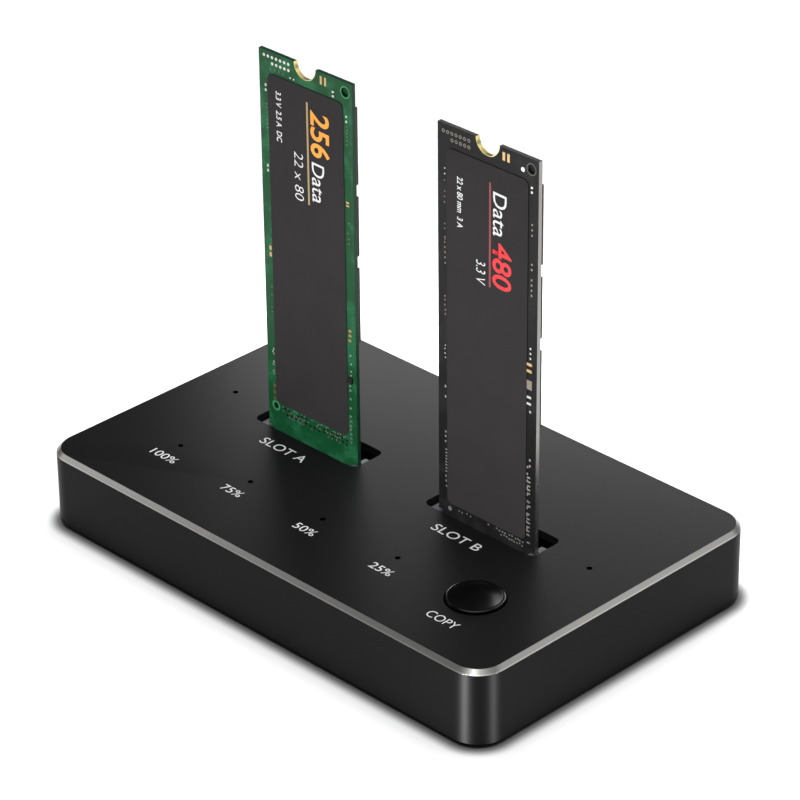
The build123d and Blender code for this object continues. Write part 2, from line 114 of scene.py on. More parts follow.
# %% [markdown]
# A finish is a small tree of shader nodes. One function adds a node, sets its properties and joins
# its inputs. Colours are written as sRGB hex values, as a designer picks them, and one function
# turns them into the linear values that the shader works with.


# %% Node and colour helpers
def add(tree, kind, inputs=None, **settings):
    """Adds a node; an input given as a socket is linked, and any other is its constant value."""
    made = tree.nodes.new(kind)
    for name, value in settings.items():
        setattr(made, name, value)
    for key, value in (inputs or {}).items():
        if isinstance(value, bpy.types.NodeSocket):
            tree.links.new(value, made.inputs[key])
        else:
            made.inputs[key].default_value = value
    return made


def linear(colour):
    """The linear RGBA of an sRGB hex colour such as 2d2b2c."""
    parts = [int(colour[i:i + 2], 16) / 255 for i in (0, 2, 4)]
    return [p / 12.92 if p <= 0.04045 else ((p + 0.055) / 1.055) ** 2.4 for p in parts] + [1.0]


def start_material(name, shader_inputs):
    """A new material with one Principled shader; returns it, its tree, shader and coordinates."""
    material = bpy.data.materials.new(name)
    material.use_nodes = True
    tree = material.node_tree
    tree.nodes.clear()
    shader = add(tree, "ShaderNodeBsdfPrincipled", shader_inputs)
    add(tree, "ShaderNodeOutputMaterial", {"Surface": shader.outputs["BSDF"]})
    where = add(tree, "ShaderNodeTexCoord").outputs["Object"]
    return material, tree, shader, where


def grain(tree, shader, where, size, depth):
    """Joins a fine noise bump to a shader; size is the grain's width and depth its height."""
    noise = add(tree, "ShaderNodeTexNoise", {"Vector": where, "Scale": 1 / size, "Detail": 2.0})
    bump = add(tree, "ShaderNodeBump", {
        "Height": noise.outputs["Fac"], "Distance": depth, "Strength": 1.0})
    tree.links.new(bump.outputs["Normal"], shader.inputs["Normal"])
    return noise


def mixed(tree, factor, first, second):
    """A colour output that goes from first to second with factor."""
    return add(tree, "ShaderNodeMix", {0: factor, 6: first, 7: second}, data_type="RGBA").outputs[2]


def maths(tree, operation, first, second=0.0):
    """The output of a maths node."""
    return add(tree, "ShaderNodeMath", {0: first, 1: second}, operation=operation).outputs[0]


# %% [markdown]
# The case is bead-blasted aluminium, anodised black. Blasting leaves a fine even grain that spreads
# highlights, and the dyed oxide is nearly black with a satin sheen, weaker than a plastic's. After
# anodising, a diamond tool cuts the bevel round the top edge, which bares bright metal. A thin band
# along the bevel's lower edge is painted a lighter metal still, a painted highlight line. The bevel is
# found by its height and by its distance from the outline, so the slot walls at the same height stay
# black. Real blasting is finer than a pixel, so the grain is drawn as coarse as it needs to be to show.

# %% Anodised case
BEVEL_LOW = 13.69 * MM
# Top of the thin band along the bevel's lower edge that is painted lighter, a painted highlight line.
HIGHLIGHT_BAND_TOP = 13.84 * MM
BEVEL_HIGH = 14.49 * MM
BEVEL_REACH = 5.5 * MM
BLAST_GRAIN = 0.16 * MM
BLAST_DEPTH = 0.004 * MM
SATIN_ROUGHNESS = 0.40
CUT_ROUGHNESS = 0.34
case_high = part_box("housing")[1]


def anodised_case():
    """Black anodised aluminium with a bright cut bevel."""
    material, tree, shader, where = start_material("anodised aluminium, bead blasted black", {
        "IOR": 1.5, "Specular IOR Level": 0.05})
    axes = add(tree, "ShaderNodeSeparateXYZ", {0: where}).outputs
    above = maths(tree, "GREATER_THAN", axes["Z"], BEVEL_LOW)
    below = maths(tree, "LESS_THAN", axes["Z"], BEVEL_HIGH)
    from_middle = {axis: maths(tree, "ABSOLUTE", axes[axis]) for axis in ("X", "Y")}
    across = maths(tree, "GREATER_THAN", from_middle["X"], case_high.x - BEVEL_REACH)
    along = maths(tree, "GREATER_THAN", from_middle["Y"], case_high.y - BEVEL_REACH)
    rim = maths(tree, "MAXIMUM", across, along)
    cut = maths(tree, "MULTIPLY", maths(tree, "MULTIPLY", above, below), rim)
    speckle = add(tree, "ShaderNodeTexNoise", {
        "Vector": where, "Scale": 1 / BLAST_GRAIN, "Detail": 1.0})
    dyed = mixed(tree, speckle.outputs["Fac"], linear("0f0f10"), linear("1a1a1b"))
    # Below this height the bevel is painted a lighter metal: a painted highlight line along its lower
    # edge.
    painted_highlight_band = maths(tree, "LESS_THAN", axes["Z"], HIGHLIGHT_BAND_TOP)
    bare_metal_and_highlight = mixed(tree, painted_highlight_band, linear("a3a29f"), linear("c4c2be"))
    tree.links.new(mixed(tree, cut, dyed, bare_metal_and_highlight), shader.inputs["Base Color"])
    tree.links.new(cut, shader.inputs["Metallic"])
    rough = add(tree, "ShaderNodeMapRange", {
        "Value": cut, "To Min": SATIN_ROUGHNESS, "To Max": CUT_ROUGHNESS})
    tree.links.new(rough.outputs["Result"], shader.inputs["Roughness"])
    grain(tree, shader, where, BLAST_GRAIN, BLAST_DEPTH)
    return material


print("bevel cut from", round(BEVEL_LOW / MM, 2), "mm up to", round(case_high.z / MM, 2), "mm")

# %% [markdown]
# The moulded pieces are ordinary engineering plastics. ABS for the base has a spark-eroded texture
# of fine pits, the button is polished so that it mirrors the lights, and the sockets are a grey
# glass-filled polymer with a dull skin.


# %% Plastics and rubber
CLOUD_GRAINS = 12


def moulded(name, dark, light, roughness, grain_size, grain_depth, shine=0.35):
    """A moulded plastic whose colour wanders a little between two hex values."""
    material, tree, shader, where = start_material(name, {
        "Roughness": roughness, "IOR": 1.5, "Specular IOR Level": shine})
    cloud = add(tree, "ShaderNodeTexNoise", {
        "Vector": where, "Scale": 1 / (CLOUD_GRAINS * grain_size), "Detail": 3.0})
    colour = mixed(tree, cloud.outputs["Fac"], linear(dark), linear(light))
    tree.links.new(colour, shader.inputs["Base Color"])
    grain(tree, shader, where, grain_size, grain_depth)
    return material


# %% [markdown]
# A circuit board is glass cloth in epoxy under a thin film of solder mask. Light goes through the
# mask to the copper below, so traces show as lighter lines in the same hue, and the film itself
# is glossy. A brick pattern makes the short straight runs of the traces, and a noise keeps them to
# patches. The cut edge of a green board shows the bare laminate. The black card's edge is plated, so
# it mirrors the floor high up and the dark case low down.

# %% Solder mask
TRACE_WIDTH = 0.09 * MM
TRACE_PITCH = 0.42 * MM
TRACE_RUN = 2.3 * MM
TRACE_PATCH = 4.0 * MM
TRACE_RISE = 0.02 * MM
PATCH_EDGES = (0.5, 0.62)
TRACE_SHOWS = 0.5
FACE_ROUGHNESS = 0.45
EDGE_ROUGHNESS = 0.25
FACING_LIMIT = 0.5


def solder_mask(name, ground, cloud, trace, edge, lacquer, plating=0.0):
    """Solder mask with traces showing through; edge and plating are the cut side's finish."""
    material, tree, shader, where = start_material(name, {
        "IOR": 1.5, "Specular IOR Level": 0.12, "Coat Weight": lacquer, "Coat Roughness": 0.2})
    flat = add(tree, "ShaderNodeMapping", {"Vector": where, "Rotation": (math.radians(90), 0, 0)})
    patches = add(tree, "ShaderNodeTexNoise", {
        "Vector": where, "Scale": 1 / TRACE_PATCH, "Detail": 3.0})
    runs = add(tree, "ShaderNodeTexBrick", {
        "Vector": flat.outputs["Vector"], "Scale": 1.0, "Mortar Size": TRACE_WIDTH,
        "Mortar Smooth": 0.2, "Brick Width": TRACE_RUN, "Row Height": TRACE_PITCH,
        "Color1": (0, 0, 0, 1), "Color2": (0.15, 0.15, 0.15, 1), "Mortar": (1, 1, 1, 1)})
    amount = add(tree, "ShaderNodeMapRange", {
        "Value": patches.outputs["Fac"], "From Min": PATCH_EDGES[0], "From Max": PATCH_EDGES[1],
        "To Min": 0.0, "To Max": TRACE_SHOWS})
    share = maths(tree, "MULTIPLY", runs.outputs["Color"], amount.outputs["Result"])
    film = mixed(tree, patches.outputs["Fac"], linear(ground), linear(cloud))
    face = mixed(tree, share, film, linear(trace))
    normal = add(tree, "ShaderNodeNewGeometry").outputs["Normal"]
    normal_axes = add(tree, "ShaderNodeSeparateXYZ", {0: normal}).outputs
    rim = maths(tree, "LESS_THAN", maths(tree, "ABSOLUTE", normal_axes["Y"]), FACING_LIMIT)
    tree.links.new(mixed(tree, rim, face, linear(edge)), shader.inputs["Base Color"])
    if plating:
        tree.links.new(maths(tree, "MULTIPLY", rim, plating), shader.inputs["Metallic"])
    rough = add(tree, "ShaderNodeMapRange", {
        "Value": rim, "To Min": FACE_ROUGHNESS, "To Max": EDGE_ROUGHNESS})
    tree.links.new(rough.outputs["Result"], shader.inputs["Roughness"])
    bump = add(tree, "ShaderNodeBump", {"Height": share, "Distance": TRACE_RISE, "Strength": 0.6})
    tree.links.new(bump.outputs["Normal"], shader.inputs["Normal"])
    return material


# %% [markdown]
# The metals are small: nickel-plated port shells, zinc-plated screws, gold-plated fingers and
# springs, drawn aluminium cans. Each has fine scratches from its forming, drawn as stretched noise.

# %% Metals
SCRATCH = 0.08 * MM
SCRATCH_DEPTH = 0.002 * MM
WEAR = (0.8, 1.25)


def metal(name, colour, roughness, streak=(1.0, 1.0, 1.0)):
    """A plated or drawn metal; streak stretches its scratches along an axis."""
    material, tree, shader, where = start_material(name, {
        "Metallic": 1.0, "Base Color": linear(colour)})
    stretched = add(tree, "ShaderNodeMapping", {"Vector": where, "Scale": streak})
    noise = grain(tree, shader, stretched.outputs["Vector"], SCRATCH, SCRATCH_DEPTH)
    wear = add(tree, "ShaderNodeMapRange", {
        "Value": noise.outputs["Fac"], "To Min": roughness * WEAR[0], "To Max": roughness * WEAR[1]})
    tree.links.new(wear.outputs["Result"], shader.inputs["Roughness"])
    return material


# %% [markdown]
# The light guides are smoke-tinted acrylic, with their lamps off. Their small ends are painted a plain
# matt black with no gloss, painted shade for the depth of a hole, so each shows as a black dot.

# %% Acrylic
def acrylic():
    """Light guides painted matt black with no gloss, as painted shade for a deep hole."""
    material, tree, shader, where = start_material("acrylic, smoke tinted", {
        "Base Color": linear("000000"), "Roughness": 0.5, "IOR": 1.49, "Specular IOR Level": 0.0})
    grain(tree, shader, where, 0.4 * MM, 0.002 * MM)
    return material


# %% [markdown]
# Each CAD piece takes the finish of its material slot. The frame's own materials are replaced in
# the object's material slots, and the meshes stay as they are.

# %% Finishes by slot
finishes = {
    "case_anodised": anodised_case(),
    "base_plastic": moulded(
        "ABS, spark textured black", "141415", "1d1d1e", 0.6, 0.25 * MM, 0.02 * MM),
    "foot_rubber": moulded(
        "silicone rubber, matt black", "161616", "202020", 0.75, 0.3 * MM, 0.01 * MM),
    "screw_steel": metal("steel, black zinc", "4a4b4e", 0.35),
    "board_laminate": solder_mask(
        "solder mask, green", "0b3f24", "12532f", "1b6a3d", "5b6b3a", 0.4),
    "light_guide_acrylic": acrylic(),
    "lamp_package": moulded("silicone lens, cream", "d8d2b0", "efe9c8", 0.3, 0.2 * MM, 0.002 * MM),
    "button_plastic": moulded(
        "polished ABS, black", "020202", "040404", 0.2, 0.3 * MM, 0.0004 * MM, shine=0.12),
    "switch_plastic": moulded("nylon, black", "121213", "1a1a1b", 0.5, 0.2 * MM, 0.004 * MM),
    "port_steel": metal("steel, nickel plated", "b9b7b2", 0.25, (1.0, 0.1, 1.0)),
    "jack_plastic": moulded("PBT, black", "111112", "19191a", 0.45, 0.2 * MM, 0.004 * MM),
    "package_epoxy": moulded(
        "moulded epoxy, black", "1b1c1e", "26272a", 0.55, 0.12 * MM, 0.006 * MM),
    "can_aluminium": metal("aluminium, drawn", "c9cacc", 0.3, (1.0, 1.0, 0.1)),
    "finger_gold": metal("copper, gold plated", "e6d590", 0.34),
    "label_film": moulded(
        "polyester film, matt printed", "2c2a2b", "323031", 0.6, 0.5 * MM, 0.002 * MM, shine=0.04),
    "ceramic_chip": moulded("ceramic, tan", "6a5034", "8a6c48", 0.5, 0.15 * MM, 0.003 * MM),
    "socket_plastic": moulded(
        "liquid-crystal polymer, grey", "4c4d50", "5d5e61", 0.5, 0.2 * MM, 0.004 * MM),
    "contact_bronze": metal("spring bronze, gold plated", "d9b25a", 0.3),
    "green_solder_mask": solder_mask(
        "solder mask, bright green", "0c3b20", "14522f", "36805a", "1d3a2a", 0.08),
    "black_solder_mask": solder_mask(
        "solder mask, black", "101011", "19191a", "2c2b2c", "9a9896", 0.05, plating=0.85),
}
for name, piece in nodes.items():
    for place in piece.material_slots:
        place.link = "OBJECT"
        place.material = finishes[slot_of[name]]
print(len(nodes), "pieces take", len(set(slot_of.values())), "finishes")

# %% [markdown]
# The CAD pieces come as loose triangles with flat facets. A real edge is never perfectly sharp, and
# its small rounding is what catches the light. So each piece that shows is copied, its doubles are
# merged, its flat faces are joined, and a narrow bevel rounds its edges. The copy stands for its
# node, in the same place. The black card's label reaches lower than the green card's. The snap dome
# under the button is copied and smoothed too, with no bevel, and keeps a mesh of its own.

# %% Softened edges
SAME_PLACE = 0.0004 * MM
FLAT_ANGLE = math.radians(0.6)
SHARP_ANGLE = math.radians(28)
BEVEL_SEGMENTS = 2
LABEL_LONGER = 3.1 * MM


def softened(node, edge):
    """A smooth copy of a CAD piece that replaces it, with its edges rounded by edge millimetres."""
    mesh = nodes[node].data.copy()
    work = bmesh.new()
    work.from_mesh(mesh)
    bmesh.ops.remove_doubles(work, verts=work.verts, dist=SAME_PLACE)
    bmesh.ops.dissolve_limit(work, angle_limit=FLAT_ANGLE, verts=work.verts, edges=work.edges)
    for face in work.faces:
        face.smooth = True
    work.to_mesh(mesh)
    work.free()
    mesh.set_sharp_from_angle(angle=SHARP_ANGLE)
    mesh.materials.clear()
    mesh.materials.append(finishes[slot_of[node]])
    piece = bpy.data.objects.new(node + "_softened", mesh)
    bpy.context.scene.collection.objects.link(piece)
    if edge:
        rounding = piece.modifiers.new("rounding", "BEVEL")
        rounding.width = edge * MM
        rounding.segments = BEVEL_SEGMENTS
        rounding.limit_method = "ANGLE"
        rounding.angle_limit = SHARP_ANGLE
        rounding.harden_normals = True
    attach(piece, body_of[node])
    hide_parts(node)
    return piece


soft_edges = {
    "housing": 0.09, "base_plate": 0.12, "rubber_feet": 0.0, "base_screws": 0.05,
    "data_port_shell": 0.05, "data_port_tongue": 0.05, "power_jack_body": 0.1, "power_jack_pin": 0.0,
    "power_switch_body": 0.0, "power_switch_knob": 0.15,
}
for side in ("left", "right"):
    soft_edges.update({
        side + "_drive_board": 0.05, side + "_drive_label": 0.03, side + "_drive_memory": 0.05,
        side + "_drive_controller": 0.05, side + "_drive_notch_plating": 0.0,
        side + "_socket_body": 0.06})
for node, edge in soft_edges.items():
    softened(node, edge)
right_label = bpy.data.objects["right_drive_label_softened"].data
label_centre = sum(v.co.z for v in right_label.vertices) / len(right_label.vertices)
for v in right_label.vertices:
    if v.co.z < label_centre:
        v.co.z -= LABEL_LONGER
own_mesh(softened("copy_switch_dome", 0.0))
print(len(soft_edges) + 1, "pieces softened")

# %% [markdown]
# The floor is a wide pale sheet, with a contact shadow painted into its colour in a narrow band round
# the case's foot. The studio is dark at the sides and bright overhead, so that the black case keeps
# its depth while the sheet stays white. The camera itself sees a white surround.

# %% The surround
SKY_LOW = 0.09
SKY_HIGH = 6.1
SKY_START = 0.84
SKY_FULL = 0.98
FLOOR_HALF = 6.0
# Width of the contact shadow painted on the floor round the case's outline.
CONTACT_SHADE = 2.6 * MM

world = bpy.data.worlds.new("studio")
world.use_nodes = True
sky = world.node_tree
sky.nodes.clear()
way = add(sky, "ShaderNodeTexCoord").outputs["Generated"]
height = add(sky, "ShaderNodeSeparateXYZ", {0: way}).outputs["Z"]
roof = add(sky, "ShaderNodeMapRange", {
    "Value": height, "From Min": SKY_START, "From Max": SKY_FULL, "To Min": SKY_LOW,
    "To Max": SKY_HIGH}, interpolation_type="SMOOTHSTEP")
glow = add(sky, "ShaderNodeBackground", {"Strength": roof.outputs["Result"], "Color": (1, 1, 1, 1)})
backdrop = add(sky, "ShaderNodeBackground", {"Strength": 1.0, "Color": (1, 1, 1, 1)})
seen = add(sky, "ShaderNodeLightPath").outputs["Is Camera Ray"]
either = add(sky, "ShaderNodeMixShader", {0: seen, 1: glow.outputs[0], 2: backdrop.outputs[0]})
add(sky, "ShaderNodeOutputWorld", {"Surface": either.outputs[0]})
bpy.context.scene.world = world

floor_mesh = bpy.data.meshes.new("floor")
floor_mesh.from_pydata([(-FLOOR_HALF, -FLOOR_HALF, 0), (FLOOR_HALF, -FLOOR_HALF, 0),
                        (FLOOR_HALF, FLOOR_HALF, 0), (-FLOOR_HALF, FLOOR_HALF, 0)], [], [(0, 1, 2, 3)])
floor = bpy.data.objects.new("floor", floor_mesh)
bpy.context.scene.collection.objects.link(floor)
paper, paper_tree, paper_shader, paper_where = start_material("paper, white matt", {
    "Roughness": 0.95, "Specular IOR Level": 0.0})
paper_axes = add(paper_tree, "ShaderNodeSeparateXYZ", {0: paper_where}).outputs
# Painted contact shadow: the sheet is grey at the case's outline and fades to white CONTACT_SHADE out.
beyond = {}
for axis, half in (("X", case_high.x), ("Y", case_high.y)):
    out_from = maths(paper_tree, "ABSOLUTE", paper_axes[axis])
    past = maths(paper_tree, "SUBTRACT", out_from, half - BEVEL_REACH)
    beyond[axis] = maths(paper_tree, "MAXIMUM", past)
corner_way = add(paper_tree, "ShaderNodeCombineXYZ", {0: beyond["X"], 1: beyond["Y"]}).outputs[0]
reach = add(paper_tree, "ShaderNodeVectorMath", {0: corner_way}, operation="LENGTH")
clear = add(paper_tree, "ShaderNodeMapRange", {
    "Value": reach.outputs["Value"], "From Min": BEVEL_REACH,
    "From Max": BEVEL_REACH + CONTACT_SHADE},
    interpolation_type="SMOOTHSTEP")
painted_contact_shadow = mixed(paper_tree, clear.outputs["Result"], linear("707070"), linear("fbfbfb"))
paper_tree.links.new(painted_contact_shadow, paper_shader.inputs["Base Color"])
floor.data.materials.append(paper)
print("sky", SKY_HIGH, "overhead and", SKY_LOW, "at the sides, floor", 2 * FLOOR_HALF, "m wide")

# %% [markdown]
# Three lamps light everything. The one behind gives the sheen that grows towards the far corner of
# the top plate, and the two beside give the cut bevel its light, which fades along the front edge
# because the front lamp stands close and to the left. The other lamps light one thing each: two
# small ones below draw the soft bands down the rounded front corner, where the upright metal
# mirrors the floor, a wide one below fills the right wall's sheen, one above sparks on the bevel's
# corner, two give the button its crescents, and one fills the cards' faces, which the dark plate
# would leave dim.


# %% Lamps
def lamp(name, azimuth, elevation, distance, size, radiance, aim=(0.0, 0.0, 14.0)):
    """A soft rectangular lamp round the object, facing aim; lengths in millimetres."""
    light = bpy.data.lights.new(name, "AREA")
    light.shape = "RECTANGLE"
    light.size = size[0] * MM
    light.size_y = size[1] * MM
    light.energy = radiance * math.pi * light.size * light.size_y
    holder = bpy.data.objects.new(name, light)
    holder.location = Vector(aim) * MM + direction(azimuth, elevation) * distance * MM
    holder.rotation_euler = (-direction(azimuth, elevation)).to_track_quat("-Z", "Y").to_euler()
    holder.visible_camera = False
    bpy.context.scene.collection.objects.link(holder)
    return holder


CORNER = (48.0, -29.0, 8.0)
PLATE = (10.0, 10.0, 14.5)
BUTTON = (45.0, -22.0, 15.0)
CARD_FEET = (5.0, -1.0, 20.0)
lamp("back_lamp", 207.5, 18, 107, (170, 31), 7.3, PLATE)
lamp("side_lamp", 142, 38, 600, (300, 300), 1.25)
lamp("front_lamp", -65, 28, 400, (140, 140), 1.5)
linked_lamps = {
    "case": [lamp("front_strip", 1, -29, 170, (26, 26), 430.0, CORNER),
             lamp("side_strip", 95, -29, 170, (26, 26), 190.0, CORNER),
             lamp("wall_fill", 135, -29, 300, (320, 320), 4.0, CORNER),
             lamp("spark", 25, 57, 300, (16, 16), 120.0, CORNER)],
    "button": [lamp("button_glow", 236, 21, 220, (30, 100), 3.0, BUTTON),
               lamp("rim_glow", 183, 38, 220, (60, 150), 8.0, BUTTON)],
    "cards": [lamp("card_fill", 10, 2, 110, (120, 20), 20.0, CARD_FEET)],
}

# %% [markdown]
# The button is a polished cap with a shallow dish for the fingertip. A dish and a rounded rim are
# surfaces of revolution, so its outline is drawn once and turned about its axis, with its two poles
# closed. The rim's arc and the dish's curve are formulas, which keep the gloss free of facets.

# %% Turned pieces
TURN_STEPS = 96
ON_AXIS = 0.0001


def turned(name, outline, centre, axis, material, body, steps=TURN_STEPS):
    """A body of revolution: outline is a list of (radius, distance along axis), in millimetres."""
    along = Vector(axis)
    across = along.orthogonal().normalized()
    aside = along.cross(across)
    work = bmesh.new()
    rings = []
    for radius, place in outline:
        middle = Vector(centre) + along * place
        if radius < ON_AXIS:
            rings.append([work.verts.new(middle * MM)])
            continue
        turns = [2 * math.pi * i / steps for i in range(steps)]
        spokes = [(across * math.cos(t) + aside * math.sin(t)) * radius for t in turns]
        rings.append([work.verts.new((middle + spoke) * MM) for spoke in spokes])
    for first, second in zip(rings, rings[1:] + ([] if len(rings[0]) == 1 else rings[:1])):
        for i in range(steps):
            j = (i + 1) % steps
            corners = [first[i % len(first)], first[j % len(first)],
                       second[j % len(second)], second[i % len(second)]]
            work.faces.new(list(dict.fromkeys(corners)))
    bmesh.ops.recalc_face_normals(work, faces=work.faces)
    for face in work.faces:
        face.smooth = True
    mesh = bpy.data.meshes.new(name)
    work.to_mesh(mesh)
    work.free()
    mesh.set_sharp_from_angle(angle=SHARP_ANGLE)
    mesh.materials.append(material)
    piece = bpy.data.objects.new(name, mesh)
    bpy.context.scene.collection.objects.link(piece)
    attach(piece, body)
    return piece


# %% The button
button_low, button_high = (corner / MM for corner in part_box("copy_button"))
BUTTON_RADIUS = 5.0
BUTTON_RIM = 0.45
BUTTON_DISH = 0.5
DISH_POWER = 3
DISH_STEPS = 14
RIM_STEPS = 6
FLANGE_TOP = 12.95
FLANGE_LOW = 12.15
STEM_RADIUS = 1.6
button_top = button_high.z
flange_radius = (button_high.x - button_low.x) / 2
button_axis = ((button_low.x + button_high.x) / 2, (button_low.y + button_high.y) / 2, 0.0)
dish_radius = BUTTON_RADIUS - BUTTON_RIM
outline = []
for i in range(DISH_STEPS + 1):
    share = i / DISH_STEPS
    outline.append((dish_radius * share, button_top - BUTTON_DISH * (1 - share ** DISH_POWER)))
for i in range(1, RIM_STEPS + 1):
    t = math.pi / 2 * i / RIM_STEPS
    fall = BUTTON_RIM * (1 - math.cos(t))
    outline.append((dish_radius + BUTTON_RIM * math.sin(t), button_top - fall))
outline += [(BUTTON_RADIUS, FLANGE_TOP), (flange_radius, FLANGE_TOP), (flange_radius, FLANGE_LOW),
            (STEM_RADIUS, FLANGE_LOW), (STEM_RADIUS, button_low.z), (0.0, button_low.z)]
button_gloss = finishes["button_plastic"]
button = turned("button_cap", outline, button_axis, (0, 0, 1), button_gloss, "copy_button")
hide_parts("copy_button")
print("button", round(2 * BUTTON_RADIUS, 1), "mm across, top at", round(button_top, 2))

# %% [markdown]
# Small parts on a circuit board stand in rows: pads, chip resistors, plated holes. A Geometry Nodes
# tree makes one row. It sets points on a line, moves each a little, drops some, puts a block or a
# disc on each that is left, and turns the instances into a real mesh with its material. Its inputs
# have names, so one tree makes every row, and its seed is fixed, so each run gives the same row.

# %% The row tree
ROW_INPUTS = [
    ("Start", "NodeSocketVector"), ("Step", "NodeSocketVector"), ("Count", "NodeSocketInt"),
    ("Size", "NodeSocketVector"), ("Wander", "NodeSocketVector"), ("Keep", "NodeSocketFloat"),
    ("Seed", "NodeSocketInt"), ("Round", "NodeSocketBool"), ("Material", "NodeSocketMaterial"),
]
DISC_SIDES = 20


def row_tree():
    """The tree that makes a row of blocks, or of discs that face the front."""
    tree = bpy.data.node_groups.new("row of small parts", "GeometryNodeTree")
    for name, kind in ROW_INPUTS:
        tree.interface.new_socket(name=name, in_out="INPUT", socket_type=kind)
    tree.interface.new_socket(name="Geometry", in_out="OUTPUT", socket_type="NodeSocketGeometry")
    given = add(tree, "NodeGroupInput").outputs
    line = add(tree, "GeometryNodeMeshLine", {
        "Count": given["Count"], "Start Location": given["Start"], "Offset": given["Step"]},
        mode="OFFSET")
    stray = add(tree, "FunctionNodeRandomValue", {
        0: (-1.0, -1.0, -1.0), 1: (1.0, 1.0, 1.0), "Seed": given["Seed"]}, data_type="FLOAT_VECTOR")
    shift = add(tree, "ShaderNodeVectorMath", {
        0: stray.outputs[0], 1: given["Wander"]}, operation="MULTIPLY")
    moved = add(tree, "GeometryNodeSetPosition", {
        "Geometry": line.outputs[0], "Offset": shift.outputs[0]})
    kept = add(tree, "FunctionNodeRandomValue", {
        "Probability": given["Keep"], "Seed": given["Seed"]}, data_type="BOOLEAN")
    block = add(tree, "GeometryNodeMeshCube", {"Size": (1.0, 1.0, 1.0)})
    disc = add(tree, "GeometryNodeMeshCylinder", {
        "Vertices": DISC_SIDES, "Radius": 0.5, "Depth": 1.0})
    upright = add(tree, "GeometryNodeTransform", {
        "Geometry": disc.outputs[0], "Rotation": (math.radians(90), 0.0, 0.0)})
    shape = add(tree, "GeometryNodeSwitch", {
        "Switch": given["Round"], "False": block.outputs[0], "True": upright.outputs[0]},
        input_type="GEOMETRY")
    placed = add(tree, "GeometryNodeInstanceOnPoints", {
        "Points": moved.outputs[0], "Selection": kept.outputs[3], "Instance": shape.outputs[0],
        "Scale": given["Size"]})
    solid = add(tree, "GeometryNodeRealizeInstances", {"Geometry": placed.outputs[0]})
    dressed = add(tree, "GeometryNodeSetMaterial", {
        "Geometry": solid.outputs[0], "Material": given["Material"]})
    add(tree, "NodeGroupOutput", {"Geometry": dressed.outputs[0]})
    return tree


def plain_mesh(source):
    """The evaluated mesh of an object, which is then removed."""
    graph = bpy.context.evaluated_depsgraph_get()
    graph.update()
    mesh = bpy.data.meshes.new_from_object(source.evaluated_get(graph))
    bpy.data.objects.remove(source)
    return mesh


def run_row(tree, values):
    """One row as a mesh: the tree's inputs are set by their identifiers before it is evaluated."""
    holder = bpy.data.objects.new("row", bpy.data.meshes.new("row"))
    bpy.context.scene.collection.objects.link(holder)
    modifier = holder.modifiers.new("row", "NODES")
    modifier.node_group = tree
    for item in tree.interface.items_tree:
        if item.in_out == "INPUT":
            modifier[item.identifier] = values[item.name]
    return plain_mesh(holder)


def joined(name, meshes, material, body):
    """Several meshes of one material as one piece on a body."""
    work = bmesh.new()
    for mesh in meshes:
        work.from_mesh(mesh)
    mesh = bpy.data.meshes.new(name)
    work.to_mesh(mesh)
    work.free()
    mesh.materials.clear()
    mesh.materials.append(material)
    piece = bpy.data.objects.new(name, mesh)
    bpy.context.scene.collection.objects.link(piece)
    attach(piece, body)
    print(name, len(mesh.polygons), "faces")
    return piece


small_parts = row_tree()

# %% [markdown]
# The parts on the front of each card lie in its narrow margins and along its foot, where the label
# leaves the board bare. Places are millimetres from the card's left edge and below its top edge,
# read off the photograph. Each finish has its own list of rows.

# %% Places on a card
CARD_HALF = 11.0
card_front = {side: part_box(side + "_drive_board")[0].y / MM for side in ("left", "right")}
card_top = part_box("left_drive_board")[1].z / MM
card_middle = {side: (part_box(side + "_drive_board")[0].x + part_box(side + "_drive_board")[1].x) / 2 / MM
               for side in ("left", "right")}


def on_board(side, from_left, below_top, proud=0.0):
    """A point on a card's front face in millimetres, standing proud of it."""
    left = card_middle[side] - CARD_HALF
    return Vector((left + from_left, card_front[side] - proud, card_top - below_top))


def run_of(side, u, v, count, pitch, size, ink, across=False, keep=1.0, wander=0.0, disc=False,
           seed=1, proud=0.0):
    """A row on a card from (u, v), running down or across; size is width, height and thickness."""
    width, tall, thick = size
    step = (pitch, 0.0, 0.0) if across else (0.0, 0.0, -pitch)
    return run_row(small_parts, {
        "Start": on_board(side, u, v, proud + thick / 2) * MM, "Step": Vector(step) * MM,
        "Count": count, "Size": Vector((width, thick, tall)) * MM,
        "Wander": Vector((wander, 0.0, wander)) * MM, "Keep": keep, "Seed": seed, "Round": disc,
        "Material": ink})


solder = metal("solder, tinned", "d9d8d2", 0.4)
bare_gold = metal("copper, gold flash", "c8a878", 0.4)
plated_ring = metal("copper, tinned dull", "8a8178", 0.5)
# This black is also painted on discs as the shade inside the holes of the cards.
black_part_and_hole_shade = moulded("moulded resistor, black", "0c0c0d", "141415", 0.45, 0.1 * MM, 0.002 * MM)
MARK = (0.28, 0.34, 0.05)
TICK = (0.22, 0.2, 0.04)
PAD_DISC = (0.56, 0.56, 0.03)
RING_DISC = (0.62, 0.62, 0.02)
HOLE_DISC = (0.36, 0.36, 0.01)
PRINT_LINE = (0.24, 0.3, 0.04)
CHIP = (0.34, 0.44, 0.12)
GOLD_PAD = (0.5, 0.8, 0.05)
print("card tops at", round(card_top, 2), "mm, fronts at y", round(card_front["left"], 2), "mm")

